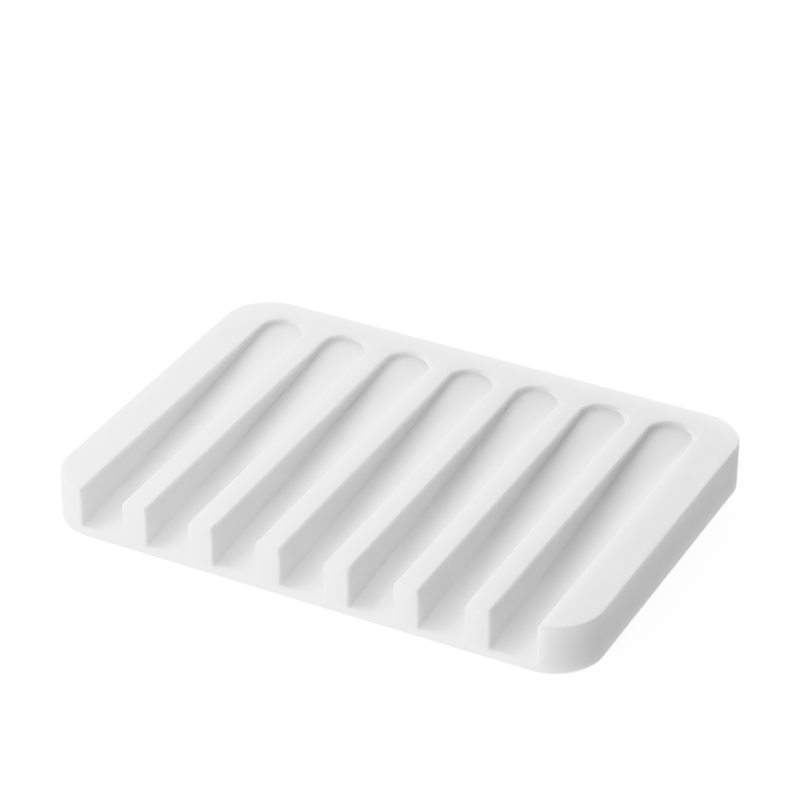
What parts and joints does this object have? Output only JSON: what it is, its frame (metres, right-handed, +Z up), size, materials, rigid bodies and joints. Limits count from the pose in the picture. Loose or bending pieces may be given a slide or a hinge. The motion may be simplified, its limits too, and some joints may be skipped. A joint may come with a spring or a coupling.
{
  "type": "soap tray",
  "caption": "Flat silicone soap tray with rounded corners and parallel ribs; the grooves between them slope down to an open front edge so water drains off.",
  "frame": {"origin": "centre of the underside, on the surface that the tray stands on", "axes": "+X along the long front edge, to the right as seen from the open front; +Y from the open front edge to the closed back; +Z up"},
  "size_m": [0.13, 0.0926, 0.0115],
  "materials": {
    "silicone": "soft matte moulded white silicone"
  },
  "bodies": {
    "root": {"soap_tray": "silicone"}
  },
  "joints": []
}
